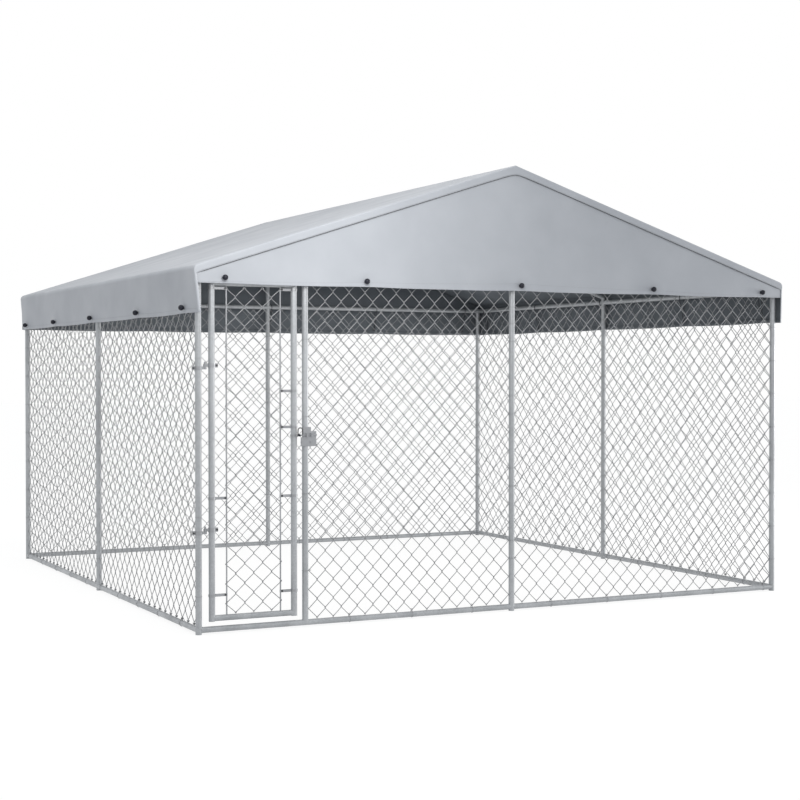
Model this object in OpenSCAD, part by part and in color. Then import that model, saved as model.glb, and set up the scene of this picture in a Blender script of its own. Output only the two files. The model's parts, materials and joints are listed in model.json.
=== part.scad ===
// Outdoor dog kennel run: tube frame, chain-link panels, hinged gate and a gable canopy.
// Millimetres. The origin is on the ground under the middle of the run, the gate side faces -Y and +Z is up.

/* [Run] */
// Width between the front corner post axes
run_w = 3820; // [3200:10:4400]
// Depth between the front and back corner post axes
run_d = 3820; // [3200:10:4400]
// Height of the top rail axes
top_rail_z = 1900; // [1800:5:1900]
// Height of the bottom rail axes
bottom_rail_z = 24; // [20:1:34]

/* [Tubes] */
// Outside diameter of the posts and gate stiles
post_dia = 34; // [28:0.5:36]
// Outside diameter of the rails and rafters
rail_dia = 32; // [24:0.5:33]
// Wall of every tube
tube_wall = 1.5; // [1:0.1:2.5]
// Gap left where one piece butts on another
seat_gap = 0.2; // [0.1:0.05:0.3]

/* [Chain link] */
// Diamonds across a full panel
net_cols = 5; // [3:1:6]
// Diamonds up a panel
net_rows = 5; // [3:1:6]
// Diamonds across the gate panel
gate_net_cols = 2; // [1:1:3]
// Diamonds up the gate panel
gate_net_rows = 8; // [4:1:12]
// Width of a strand
strand_w = 4; // [3:0.5:6]
// Thickness of a panel
net_t = 3; // [2:0.5:5]

/* [Canopy] */
// Height of the canopy ridge
ridge_z = 2577; // [2400:5:2700]
// Height of the fold along the eaves
eave_z = 1947; // [1945:1:1990]
// Height of the front hem
front_hem_z = 1855; // [1800:5:1870]
// Height of the side and back hems
side_hem_z = 1700; // [1680:5:1800]
// Overhang of the roof past the side rail axes
side_overhang = 40; // [36:1:80]
// Overhang of the roof past the front and back rail axes
end_overhang = 50; // [45:1:100]
// Thickness of the sheet
sheet_t = 2.5; // [1.5:0.5:4]
// Outside radius of the fold along the eaves
fold_r = 30; // [20:1:34]
// Lean of the side valances towards the run, in degrees
valance_lean = 2; // [0:0.5:3]
// Outside radius of the fold along the ridge
ridge_fold_r = 12; // [8:1:16]
// Width of the band that wraps over the gables
rake_band = 45; // [25:1:70]
// Slack between layers of sheet
sheet_gap = 0.3; // [0.2:0.1:0.6]

/* [Roof frame] */
// Wall of the sleeve of a ridge tee
tee_wall = 2.5; // [2:0.1:4]
// Length of a ridge tee sleeve
tee_len = 60; // [40:1:100]
// Distance from the ridge axis to the top end of a rafter or tall post
rafter_start = 30; // [26:1:40]
// Length of a tee stub inside its tube
tee_stub = 50; // [30:1:80]
// Length of rafter past the side rail axis
rafter_tail = 12; // [6:1:16]
// Diameter of a rafter seat
seat_dia = 40; // [36:1:50]

/* [Hem fasteners] */
// Diameter of a ball
ball_dia = 31; // [20:1:34]
// Diameter of the elastic cord
cord_dia = 4; // [3:0.5:5]
// Height of an eyelet above its hem
eyelet_rise = 30; // [22:1:40]
// Inside diameter of an eyelet
eyelet_bore = 9.6; // [8:0.2:12]
// Outside diameter of an eyelet flange
eyelet_dia = 22; // [18:1:26]
// Thickness of an eyelet flange
eyelet_t = 1.2; // [0.8:0.1:2]
// Wall of an eyelet barrel
eyelet_wall = 1; // [0.6:0.1:1.4]
// Distance of the end fasteners from the corner posts
ball_inset = 130; // [120:5:200]
// Distance of the middle fastener from the centre post
ball_offset = 30; // [26:1:34]

/* [Gate] */
// Distance from the corner post axis to the gate post axis
gate_post_x = 610; // [560:5:900]
// Distance from the corner post axis to the hinge stile axis
hinge_stile_x = 74; // [72:1:90]
// Distance from the latch stile axis to the gate post axis
latch_gap = 66; // [60:1:72]
// Height of the bottom of the gate
gate_bottom_z = 65; // [50:1:120]
// Gap between the gate and the top rail
gate_top_gap = 8; // [6:1:20]
// Width of a tension bar
bar_w = 7; // [6:0.5:14]
// Thickness of a tension bar
bar_t = 4; // [3:0.5:6]
// Distance from the hinge stile axis to its tension bar
hinge_bar_x = 83; // [60:1:100]
// Distance from the latch stile axis to its tension bar
latch_bar_x = 79; // [60:1:100]
// Height of a tension band
band_h = 14; // [10:1:20]
// Thickness of a tension band
band_t = 2; // [1.5:0.1:3]
// Diameter of a tension band bolt
band_bolt_dia = 6; // [5:0.5:8]
// Height of the lowest tension bands above the bottom of the gate
bottom_band_rise = 138; // [60:1:250]
// Height of the middle tension bands
middle_band_z = 718; // [600:1:900]
// Height of the tension band near the latch
latch_band_z = 1090; // [1075:1:1180]
// Height of the tension band above the latch
upper_band_z = 1285; // [1200:1:1500]
// Distance of the highest tension bands below the top of the gate
top_band_drop = 45; // [36:1:150]

/* [Hinges] */
// Height of the lower hinge
lower_hinge_z = 545; // [300:5:700]
// Height of the upper hinge
upper_hinge_z = 1415; // [1200:5:1600]
// Diameter of a hinge pin
pin_dia = 10; // [8:0.5:12]
// Clearance round a hinge pin, on the radius
pin_clear = 0.08; // [0.03:0.01:0.1]
// Height of a hinge clamp band
clamp_h = 22; // [18:1:30]
// Thickness of a hinge clamp band
clamp_t = 3; // [2:0.1:4]
// Slot between the ears of a clamp
ear_slot = 4; // [3:0.5:6]
// Reach of the clamp ears from the tube axis
ear_reach = 34; // [30:1:40]
// Height of a hinge arm
arm_h = 14; // [10:1:18]
// Width of a hinge arm
arm_w = 12; // [10:0.5:14]
// Outside diameter of a hinge eye
eye_dia = 18; // [16:0.5:20]
// Diameter of a clamp bolt
clamp_bolt_dia = 6; // [5:0.5:8]

/* [Latch] */
// Height of the middle of the latch
latch_z = 1040; // [900:5:1150]
// Thickness of the latch plate
plate_t = 3; // [2:0.5:5]
// Diameter of the sliding bolt
bolt_dia = 8; // [6:0.5:10]
// Clearance round the sliding bolt, on the radius
bolt_clear = 0.1; // [0.05:0.01:0.1]
// Gap between the plate and the sliding bolt
bolt_stand_off = 3; // [2:0.5:5]
// Reach of the bolt to the right of the gate post axis
bolt_tail = 58; // [56:1:70]
// Height of the bolt axis above the middle of the latch
bolt_rise = 5; // [0:1:12]
// Travel of the bolt
bolt_travel = 22; // [20:1:26]
// Height of the loop handle above the bolt axis
handle_h = 43; // [36:1:48]
// Diameter of the loop handle's wire
handle_dia = 6; // [3:0.5:6]
// Distance between the legs of the loop handle
handle_gap = 27; // [20:1:30]
// Diameter of the black knob
knob_dia = 13; // [9:0.5:13]
// Length of the black knob
knob_len = 11; // [8:1:16]
// Height of the clamp that holds the plate
latch_clamp_h = 24; // [18:1:28]
// Thickness of the keeper
keeper_t = 3; // [2:0.5:4]
// Width of the keeper cradle
keeper_w = 8; // [6:0.5:10]
// Distance from the latch stile axis to the far side of the keeper cradle
keeper_offset = 21; // [18:1:22]

/* [Hidden] */
$fn = 48;

steel = "#b9bdc1";
dark_steel = "#4a4d52";
cloth = "#b4b9c0";
black = "#24262e";

// Frame values
half_w = run_w / 2;
half_d = run_d / 2;
post_r = post_dia / 2;
rail_r = rail_dia / 2;
post_top_z = top_rail_z + rail_r;
corner_fl = [-half_w, -half_d];
corner_fr = [half_w, -half_d];
corner_bl = [-half_w, half_d];
corner_br = [half_w, half_d];
middle_f = [0, -half_d];
middle_b = [0, half_d];
middle_l = [-half_w, 0];
middle_r = [half_w, 0];
gate_post_at = [-half_w + gate_post_x, -half_d];
net_bottom_z = bottom_rail_z + rail_r + seat_gap;
net_top_z = top_rail_z - rail_r - seat_gap;
net_h = net_top_z - net_bottom_z;
full_panel_w = half_w - post_dia - 2 * seat_gap;

// Canopy values
eave_x = half_w + side_overhang;
gable_y = half_d + end_overhang;
slope = atan2(ridge_z - eave_z, eave_x);
tee_r = rail_r + seat_gap + tee_wall;
roof_axis_drop = (sheet_t + sheet_gap + tee_r) / cos(slope);
ridge_axis_z = ridge_z - roof_axis_drop;
rafter_end = (half_w + rafter_tail) / cos(slope);
rafter_foot_z = ridge_axis_z - half_w * tan(slope);
tall_post_z = ridge_axis_z - rafter_start;
fold_steps = 5;
eave_fold_at = [eave_x - fold_r, eave_z - fold_r * (1 - sin(slope)) / cos(slope)];
ridge_fold_at = [0, ridge_z - ridge_fold_r / cos(slope)];
valance_top = eave_fold_at + fold_r * [cos(valance_lean), -sin(valance_lean)];
gable_inset = sheet_t + sheet_gap;

// Hem fastener values
eyelet_hole_r = eyelet_bore / 2 + eyelet_wall + seat_gap;
eyelet_depth = sheet_t + 1;
flange_gap = sheet_gap / 3;
front_eyelet_z = front_hem_z + eyelet_rise;
side_eyelet_z = side_hem_z + eyelet_rise;
side_eyelet_x = valance_x(side_eyelet_z);
ball_r = ball_dia / 2;
ball_seat = eyelet_t + sqrt(ball_r * ball_r - eyelet_bore * eyelet_bore / 4) + sheet_gap;
cord_gap = 0.3;
loop_sides = 12;
knot_depth = ball_r * 0.8;
cord_end = ball_seat + knot_depth - ball_r;
fastener_spots_x = fastener_spots(half_w);
fastener_spots_y = fastener_spots(half_d);

// Gate values
hinge_axis_x = -half_w + hinge_stile_x / 2;
hinge_stile_at = [-half_w + hinge_stile_x, -half_d];
latch_stile_at = [gate_post_at.x - latch_gap, -half_d];
gate_top_z = top_rail_z - rail_r - gate_top_gap;
gate_rail_inset = post_r;
gate_bottom_rail_z = gate_bottom_z + gate_rail_inset;
gate_top_rail_z = gate_top_z - gate_rail_inset;
gate_net_bottom_z = gate_bottom_rail_z + rail_r + seat_gap;
gate_net_top_z = gate_top_rail_z - rail_r - seat_gap;
hinge_bar_at = hinge_stile_at.x + hinge_bar_x;
latch_bar_at = latch_stile_at.x - latch_bar_x;
bottom_band_z = gate_bottom_z + bottom_band_rise;
top_band_z = gate_top_z - top_band_drop;
hinge_bands = [bottom_band_z, middle_band_z, top_band_z];
latch_bands = [bottom_band_z, middle_band_z, latch_band_z, upper_band_z, top_band_z];
hinge_z = [lower_hinge_z, upper_hinge_z];
clamp_r = post_r + seat_gap + clamp_t;
ear_t = clamp_t;
ear_bolt_x = ear_reach - clamp_bolt_dia;
ear_bolt_half = ear_slot / 2 + ear_t;
bolt_head_h = 4;
bolt_room = 1.5;
band_bolt_back = bar_w / 2 + band_bolt_dia / 2 + bolt_room;
hex_share = 1.9;
pin_tip = 12;

// Latch values
plate_back_y = -half_d - post_r - seat_gap;
plate_front_y = plate_back_y - plate_t;
bolt_y = plate_front_y - bolt_stand_off - bolt_dia / 2;
bolt_z = latch_z + bolt_rise;
guide_w = 12;
guide_wall = 4;
guide_x = [-6, 22];
latch_clamp_t = 2.5;
flange_bolt_x = post_r + seat_gap + latch_clamp_t + hex_share * clamp_bolt_dia / 2 + 0.6;
flange_reach = flange_bolt_x + clamp_bolt_dia;
plate_left = flange_reach + 1;
plate_right = 58;
plate_bottom = 56;
plate_step_z = 26;
plate_top = 49;
plate_neck_left = 18;
plate_neck_right = 27;
plate_tab_z = -8;
clamp_mid_z = latch_z - 34;
keeper_gap = 1;
keeper_pass = 2;
keeper_x = latch_stile_at.x - keeper_offset;
bolt_tip_x = keeper_x + bolt_travel - keeper_pass;
bolt_len = gate_post_at.x + bolt_tail - bolt_tip_x;
knob_x = bolt_tip_x + keeper_pass + keeper_w + keeper_gap + knob_dia / 2;
knob_start = handle_dia / 2 + seat_gap;
handle_lead = 3;
handle_left_x = knob_x - handle_lead;

function fastener_spots(half) = [ball_inset - half, -half / 2, ball_offset, half / 2, half - ball_inset];

function arc(c, r, from, to, steps) =
    let (step = (to - from) / steps)
    [for (i = [0 : steps]) c + r * [cos(from + step * i), sin(from + step * i)]];

function mirrored(points) = [for (i = [len(points) - 1 : -1 : 0]) [-points[i].x, points[i].y]];

function reversed(points) = [for (i = [len(points) - 1 : -1 : 0]) points[i]];

// Distance of the outer face of a side valance from the middle of the run, at height z
function valance_x(z) = valance_top.x - (valance_top.y - z) * tan(valance_lean);

// Half of the roof line, from the right eave to the ridge, moved inwards by inset
function half_roof(inset) = concat(
    arc(eave_fold_at, fold_r - inset, -valance_lean, 90 - slope, fold_steps),
    arc(ridge_fold_at, ridge_fold_r - inset, 90 - slope, 90, 2));

function roof_line(inset) =
    let (half = half_roof(inset))
    concat(half, mirrored([for (p = half) if (p.x > 0.001) p]));

// An XZ offset as seen from a fastener that leans with its valance
function leaned(p) =
    [p.x * cos(valance_lean) - p.y * sin(valance_lean), p.x * sin(valance_lean) + p.y * cos(valance_lean)];

// The four points where two round ends of a tapered loop meet their common tangents
function tangent_quad(c1, r1, c2, r2) =
    let (d = c2 - c1, l = norm(d), u = d / l, n = [-u.y, u.x], k = acos((r1 - r2) / l))
    let (a = u * cos(k) + n * sin(k), b = u * cos(k) - n * sin(k))
    [c1 + r1 * a, c2 + r2 * a, c2 + r2 * b, c1 + r1 * b];

module tube(r, h) {
    difference() {
        cylinder(r = r, h = h);
        translate([0, 0, -1]) cylinder(r = r - tube_wall, h = h + 2);
    }
}

module post(at) {
    color(steel) translate([at.x, at.y, 0]) tube(post_r, post_top_z);
}

// A centre post that goes on up to the ridge pole
module tall_post(at) {
    color(steel) translate([at.x, at.y, 0]) tube(post_r, tall_post_z);
}

module gate_post() {
    color(steel) difference() {
        translate([gate_post_at.x, gate_post_at.y, bottom_rail_z]) tube(post_r, top_rail_z - bottom_rail_z);
        for (z = [bottom_rail_z, top_rail_z])
            translate([gate_post_at.x - post_dia, gate_post_at.y, z]) rotate([0, 90, 0])
                cylinder(r = rail_r + seat_gap, h = 2 * post_dia);
    }
}

// A rail between two upright tubes, its ends shaped to butt on them
module rail(from, to, z) {
    run = to - from;
    length = norm(run);
    color(steel) translate([from.x, from.y, z]) rotate([0, 0, atan2(run.y, run.x)]) difference() {
        rotate([0, 90, 0]) tube(rail_r, length);
        for (end = [0, length])
            translate([end, 0, -rail_dia]) cylinder(r = post_r + seat_gap, h = 2 * rail_dia);
    }
}

// Two rails between corner posts, cut at 45 degrees where they meet the next side's rails;
// inside is 1 where the run lies to the left of the rails and -1 where it lies to the right
module rail_pair(from, middle, to, z, inside) {
    run = to - from;
    cut = 2 * rail_dia;
    difference() {
        union() {
            rail(from, middle, z);
            rail(middle, to, z);
        }
        for (end = [0, 1])
            translate([from.x, from.y, z] + end * [run.x, run.y, 0]) rotate([0, 0, atan2(run.y, run.x)])
                mirror([end, 0, 0]) mirror([0, inside > 0 ? 0 : 1, 0])
                    translate([seat_gap, 0, 0]) rotate([0, 0, 45])
                        translate([-cut, 0, -cut / 2]) cube([2 * cut, cut, cut]);
    }
}

module bottom_rails(from, middle, to, inside) {
    rail_pair(from, middle, to, bottom_rail_z, inside);
}

module top_rails(from, middle, to, inside) {
    rail_pair(from, middle, to, top_rail_z, inside);
}

// A flat diamond net standing in the XZ plane, with its lower left corner at the origin
module net(width, height, cols, rows) {
    a = width / cols;
    b = height / rows;
    lean = atan2(b, a);
    hole_x = a / 2 - strand_w / 2 / sin(lean);
    hole_z = b / 2 - strand_w / 2 / cos(lean);
    translate([0, net_t / 2, 0]) rotate([90, 0, 0]) linear_extrude(height = net_t) difference() {
        square([width, height]);
        for (i = [0 : 2 * cols], j = [0 : 2 * rows])
            if ((i + j) % 2 == 1)
                translate([i * a / 2, j * b / 2])
                    polygon([[hole_x, 0], [0, hole_z], [-hole_x, 0], [0, -hole_z]]);
    }
}

// The net of a panel between two posts
module mesh_panel(from, to) {
    run = to - from;
    width = norm(run) - post_dia - 2 * seat_gap;
    color(steel) translate([from.x, from.y, net_bottom_z]) rotate([0, 0, atan2(run.y, run.x)])
        translate([post_r + seat_gap, 0, 0])
            net(width, net_h, max(1, round(net_cols * width / full_panel_w)), net_rows);
}

module ridge_pole() {
    length = 2 * (gable_y - gable_inset - sheet_t - sheet_gap);
    color(steel) translate([0, length / 2, ridge_axis_z]) rotate([90, 0, 0]) tube(rail_r, length);
}

// Places its children with +Z running down a rafter axis from the ridge; side is 1 or -1
module down_rafter(side) {
    translate([0, 0, ridge_axis_z]) rotate([0, side * (90 + slope), 0]) children();
}

module rafter(side) {
    color(steel) down_rafter(side) translate([0, 0, rafter_start]) tube(rail_r, rafter_end - rafter_start);
}

// The saddle on a side centre post that carries the foot of a rafter
module rafter_seat(side) {
    base_z = post_top_z + seat_gap;
    difference() {
        translate([side * half_w, 0, base_z]) cylinder(d = seat_dia, h = rafter_foot_z - base_z);
        down_rafter(side) translate([0, 0, rafter_start])
            cylinder(r = rail_r + seat_gap, h = rafter_end + seat_dia);
    }
}

module rafter_seats() {
    color(steel) for (side = [-1, 1]) rafter_seat(side);
}

// A sleeve on the ridge pole; the children are its stubs
module ridge_tee(y) {
    difference() {
        union() {
            translate([0, y + tee_len / 2, ridge_axis_z]) rotate([90, 0, 0]) cylinder(r = tee_r, h = tee_len);
            children();
        }
        translate([0, y + tee_len, ridge_axis_z]) rotate([90, 0, 0])
            cylinder(r = rail_r + seat_gap, h = 2 * tee_len);
    }
}

// The middle tee with a stub in each rafter, and the end tees with a stub in each tall post
module ridge_tees() {
    stub_h = rafter_start + tee_stub;
    stub_gap = tube_wall + seat_gap;
    color(steel) {
        ridge_tee(0) for (side = [-1, 1]) down_rafter(side) cylinder(r = rail_r - stub_gap, h = stub_h);
        for (y = [-half_d, half_d])
            ridge_tee(y) translate([0, y, ridge_axis_z - stub_h]) cylinder(r = post_r - stub_gap, h = stub_h);
    }
}

// Extrudes an XZ outline along Y, from y to y + depth
module upright(y, depth) {
    translate([0, y + depth, 0]) rotate([90, 0, 0]) linear_extrude(height = depth) children();
}

// Places its children at each hem fastener, with +X pointing out of the sheet
module at_side_fasteners() {
    for (side = [-1, 1], y = fastener_spots_y)
        translate([side * side_eyelet_x, y, side_eyelet_z]) rotate([0, 0, side > 0 ? 0 : 180])
            rotate([0, valance_lean, 0]) children();
}

module at_front_fasteners() {
    for (x = fastener_spots_x)
        translate([x, -gable_y + gable_inset, front_eyelet_z]) rotate([0, 0, -90]) children();
}

module at_back_fasteners() {
    for (x = fastener_spots_x)
        translate([x, gable_y - gable_inset, side_eyelet_z]) rotate([0, 0, 90]) children();
}

module eyelet_hole() {
    translate([-2 * eyelet_depth, 0, 0]) rotate([0, 90, 0]) cylinder(r = eyelet_hole_r, h = 4 * eyelet_depth);
}

// The band of the roof sheet that wraps over a gable
module rake_outline() {
    drop = rake_band / cos(slope);
    low_z = eave_z - drop;
    low_x = valance_x(low_z);
    polygon(concat([[low_x, low_z]], roof_line(0), [[-low_x, low_z], [0, ridge_z - drop]]));
}

// The roof sheet and its side valances, seen from the front
module roof_outline() {
    outer_x = valance_x(side_hem_z);
    inner_x = outer_x - sheet_t / cos(valance_lean);
    polygon(concat([[outer_x, side_hem_z]], roof_line(0), [[-outer_x, side_hem_z], [-inner_x, side_hem_z]],
        reversed(roof_line(sheet_t)), [[inner_x, side_hem_z]]));
}

module canopy_roof() {
    color(cloth) difference() {
        union() {
            upright(-gable_y, 2 * gable_y) roof_outline();
            for (y = [-gable_y, gable_y - sheet_t]) upright(y, sheet_t) rake_outline();
        }
        at_side_fasteners() eyelet_hole();
    }
}

module gable_outline(hem_z) {
    hem_x = valance_x(hem_z) - gable_inset / cos(valance_lean);
    polygon(concat([[hem_x, hem_z]], roof_line(gable_inset), [[-hem_x, hem_z]]));
}

module canopy_gable_front() {
    color(cloth) difference() {
        upright(-gable_y + gable_inset, sheet_t) gable_outline(front_hem_z);
        at_front_fasteners() eyelet_hole();
    }
}

module canopy_gable_back() {
    color(cloth) difference() {
        upright(gable_y - gable_inset - sheet_t, sheet_t) gable_outline(side_hem_z);
        at_back_fasteners() eyelet_hole();
    }
}

module eyelet() {
    bore_r = eyelet_bore / 2;
    rotate([0, 90, 0]) rotate_extrude()
        polygon([[bore_r, -eyelet_depth], [bore_r + eyelet_wall, -eyelet_depth],
            [bore_r + eyelet_wall, flange_gap], [eyelet_dia / 2, flange_gap], [eyelet_dia / 2, eyelet_t],
            [bore_r, eyelet_t]]);
}

module canopy_eyelets() {
    color(dark_steel) {
        at_side_fasteners() eyelet();
        at_front_fasteners() eyelet();
        at_back_fasteners() eyelet();
    }
}

module ball() {
    difference() {
        translate([ball_seat, 0, 0]) sphere(r = ball_r);
        rotate([0, 90, 0]) cylinder(d = cord_dia + 2 * cord_gap, h = cord_end + cord_gap);
    }
}

module canopy_balls() {
    color(black) {
        at_side_fasteners() ball();
        at_front_fasteners() ball();
        at_back_fasteners() ball();
    }
}

module taper_outline(c1, r1, c2, r2) {
    translate(c1) circle(r = r1, $fn = loop_sides);
    translate(c2) circle(r = r2, $fn = loop_sides);
    polygon(tangent_quad(c1, r1, c2, r2));
}

// An elastic loop from its eyelet round a rail whose axis is at rail_at
module elastic_loop(rail_at) {
    neck = [-eyelet_depth - 2 * cord_dia, 0];
    inner_r = (rail_r + cord_gap) / cos(180 / loop_sides);
    translate([0, cord_dia / 2, 0]) rotate([90, 0, 0]) linear_extrude(height = cord_dia) difference() {
        taper_outline(rail_at, inner_r + cord_dia, neck, cord_dia);
        taper_outline(rail_at, inner_r, neck, cord_dia / 4);
    }
    translate([neck.x + cord_dia / 2, 0, 0]) rotate([0, 90, 0])
        cylinder(d = cord_dia, h = cord_end - neck.x - cord_dia / 2);
}

module elastic_loops() {
    end_reach = gable_y - gable_inset - half_d;
    color(black) {
        at_side_fasteners() elastic_loop(leaned([half_w - side_eyelet_x, top_rail_z - side_eyelet_z]));
        at_front_fasteners() elastic_loop([-end_reach, top_rail_z - front_eyelet_z]);
        at_back_fasteners() elastic_loop([-end_reach, top_rail_z - side_eyelet_z]);
    }
}

// A split band round a tube with two ears on its -X side
module clamp_band() {
    translate([0, 0, -clamp_h / 2]) difference() {
        union() {
            cylinder(r = clamp_r, h = clamp_h);
            translate([-ear_reach, -ear_bolt_half, 0]) cube([ear_reach, 2 * ear_bolt_half, clamp_h]);
        }
        translate([0, 0, -1]) cylinder(r = post_r + seat_gap, h = clamp_h + 2);
        translate([-ear_reach - 1, -ear_slot / 2, -1]) cube([ear_reach + 1, ear_slot, clamp_h + 2]);
        translate([-ear_bolt_x, ear_reach, clamp_h / 2]) rotate([90, 0, 0])
            cylinder(d = clamp_bolt_dia + 2 * seat_gap, h = 2 * ear_reach);
    }
}

// A bolt along Y with its head in front and its nut behind; half is half the grip
module cross_bolt(dia, half) {
    rotate([90, 0, 0]) {
        translate([0, 0, -half - 2 * bolt_head_h]) cylinder(d = dia, h = 2 * half + 2 * bolt_head_h);
        translate([0, 0, half]) cylinder(d = hex_share * dia, h = bolt_head_h, $fn = 6);
        translate([0, 0, -half - bolt_head_h]) cylinder(d = hex_share * dia, h = bolt_head_h, $fn = 6);
    }
}

module post_hinge() {
    axis_x = hinge_stile_x / 2;
    difference() {
        union() {
            translate([0, 0, -arm_h / 2]) clamp_band();
            translate([post_r + 1, -arm_w / 2, -arm_h]) cube([axis_x - post_r - 1, arm_w, arm_h - sheet_gap]);
            translate([axis_x, 0, -arm_h]) cylinder(d = eye_dia, h = arm_h - sheet_gap);
            translate([axis_x, 0, -arm_h]) cylinder(d = pin_dia, h = 2 * arm_h + pin_tip);
        }
        translate([0, 0, -2 * clamp_h]) cylinder(r = post_r + seat_gap, h = 4 * clamp_h);
    }
}

module post_hinges() {
    color(steel) for (z = hinge_z) translate([-half_w, -half_d, z]) post_hinge();
}

module post_hinge_bolts() {
    color(dark_steel) for (z = hinge_z)
        translate([-half_w - ear_bolt_x, -half_d, z - arm_h / 2]) cross_bolt(clamp_bolt_dia, ear_bolt_half);
}

module gate_hinge() {
    axis_x = hinge_stile_x / 2;
    difference() {
        union() {
            translate([0, 0, arm_h / 2]) mirror([1, 0, 0]) clamp_band();
            translate([-axis_x, -arm_w / 2, 0]) cube([axis_x - post_r - 1, arm_w, arm_h]);
            translate([-axis_x, 0, 0]) cylinder(d = eye_dia, h = arm_h);
        }
        translate([0, 0, -clamp_h]) cylinder(r = post_r + seat_gap, h = 3 * clamp_h);
        translate([-axis_x, 0, -1]) cylinder(r = pin_dia / 2 + pin_clear, h = arm_h + 2);
    }
}

module gate_hinges() {
    color(steel) for (z = hinge_z) translate([hinge_stile_at.x, -half_d, z]) gate_hinge();
}

module gate_hinge_bolts() {
    color(dark_steel) for (z = hinge_z)
        translate([hinge_stile_at.x + ear_bolt_x, -half_d, z + arm_h / 2])
            cross_bolt(clamp_bolt_dia, ear_bolt_half);
}

module gate_stile(at) {
    color(steel) translate([at.x, at.y, gate_bottom_z]) tube(post_r, gate_top_z - gate_bottom_z);
}

module gate_mesh() {
    width = latch_bar_at - hinge_bar_at - bar_w - 2 * seat_gap;
    color(steel) translate([hinge_bar_at + bar_w / 2 + seat_gap, -half_d, gate_net_bottom_z])
        net(width, gate_net_top_z - gate_net_bottom_z, gate_net_cols, gate_net_rows);
}

module gate_bar(x) {
    color(steel) translate([x - bar_w / 2, -half_d - bar_t / 2, gate_net_bottom_z])
        cube([bar_w, bar_t, gate_net_top_z - gate_net_bottom_z]);
}

// A band round a stile whose two tails run along +X past the tension bar at bar_x
module tension_band(bar_x) {
    tail_y = bar_t / 2 + seat_gap;
    outer_r = post_r + seat_gap + band_t;
    translate([0, 0, -band_h / 2]) difference() {
        union() {
            cylinder(r = outer_r, h = band_h);
            for (y = [tail_y, -tail_y - band_t])
                translate([0, y, 0]) cube([bar_x + bar_w / 2, band_t, band_h]);
        }
        translate([0, 0, -1]) cylinder(r = post_r + seat_gap, h = band_h + 2);
        translate([0, -tail_y, -1]) cube([bar_x, 2 * tail_y, band_h + 2]);
        translate([bar_x - band_bolt_back, bar_x, band_h / 2]) rotate([90, 0, 0])
            cylinder(d = band_bolt_dia + 2 * seat_gap, h = 2 * bar_x);
    }
}

module gate_tension_bands() {
    color(steel) {
        for (z = hinge_bands) translate([hinge_stile_at.x, -half_d, z]) tension_band(hinge_bar_x);
        for (z = latch_bands)
            translate([latch_stile_at.x, -half_d, z]) mirror([1, 0, 0]) tension_band(latch_bar_x);
    }
}

module gate_band_bolts() {
    grip = bar_t / 2 + seat_gap + band_t;
    color(dark_steel) {
        for (z = hinge_bands)
            translate([hinge_bar_at - band_bolt_back, -half_d, z]) cross_bolt(band_bolt_dia, grip);
        for (z = latch_bands)
            translate([latch_bar_at + band_bolt_back, -half_d, z]) cross_bolt(band_bolt_dia, grip);
    }
}

// A guide block on the plate, bored for the sliding bolt
module bolt_guide(x) {
    height = bolt_dia + 2 * guide_wall;
    depth = bolt_stand_off + bolt_dia + guide_wall;
    translate([gate_post_at.x + x, plate_front_y - depth, bolt_z - height / 2])
        cube([guide_w, depth, height]);
}

module plate_outline() {
    polygon([[-plate_left, -plate_bottom], [plate_right, -plate_bottom], [plate_right, plate_step_z],
        [plate_neck_right, plate_step_z], [plate_neck_right, plate_top], [-plate_neck_left, plate_top],
        [-plate_neck_left, plate_tab_z], [-plate_left, plate_tab_z]]);
}

module latch_plate() {
    color(steel) difference() {
        union() {
            translate([gate_post_at.x, plate_back_y, latch_z]) rotate([90, 0, 0])
                linear_extrude(height = plate_t) plate_outline();
            for (x = guide_x) bolt_guide(x);
        }
        translate([gate_post_at.x - plate_right, bolt_y, bolt_z]) rotate([0, 90, 0])
            cylinder(r = bolt_dia / 2 + bolt_clear, h = 3 * plate_right);
        for (x = [-flange_bolt_x, flange_bolt_x])
            translate([gate_post_at.x + x, plate_front_y - 1, clamp_mid_z]) rotate([-90, 0, 0])
                cylinder(d = clamp_bolt_dia + 2 * seat_gap, h = plate_t + 2);
    }
}

// A strap round the back of the gate post, with a flange on each side against the plate
module latch_clamp() {
    inner_r = post_r + seat_gap;
    outer_r = inner_r + latch_clamp_t;
    flange_y = -post_r;
    color(steel) translate([gate_post_at.x, -half_d, clamp_mid_z - latch_clamp_h / 2]) difference() {
        union() {
            cylinder(r = outer_r, h = latch_clamp_h);
            translate([-outer_r, flange_y, 0]) cube([2 * outer_r, -flange_y, latch_clamp_h]);
            translate([-flange_reach, flange_y, 0]) cube([2 * flange_reach, latch_clamp_t, latch_clamp_h]);
        }
        translate([0, 0, -1]) cylinder(r = inner_r, h = latch_clamp_h + 2);
        translate([-inner_r, -2 * outer_r, -1]) cube([2 * inner_r, 2 * outer_r, latch_clamp_h + 2]);
        translate([-2 * outer_r, flange_y - outer_r, -1]) cube([4 * outer_r, outer_r, latch_clamp_h + 2]);
        for (x = [-flange_bolt_x, flange_bolt_x])
            translate([x, -2 * outer_r, latch_clamp_h / 2]) rotate([-90, 0, 0])
                cylinder(d = clamp_bolt_dia + 2 * seat_gap, h = 2 * outer_r);
    }
}

module latch_clamp_bolts() {
    grip = (plate_t + latch_clamp_t) / 2;
    grip_mid_y = plate_front_y + grip;
    color(steel) for (x = [-flange_bolt_x, flange_bolt_x])
        translate([gate_post_at.x + x, grip_mid_y, clamp_mid_z]) cross_bolt(clamp_bolt_dia, grip + seat_gap);
}

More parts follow.
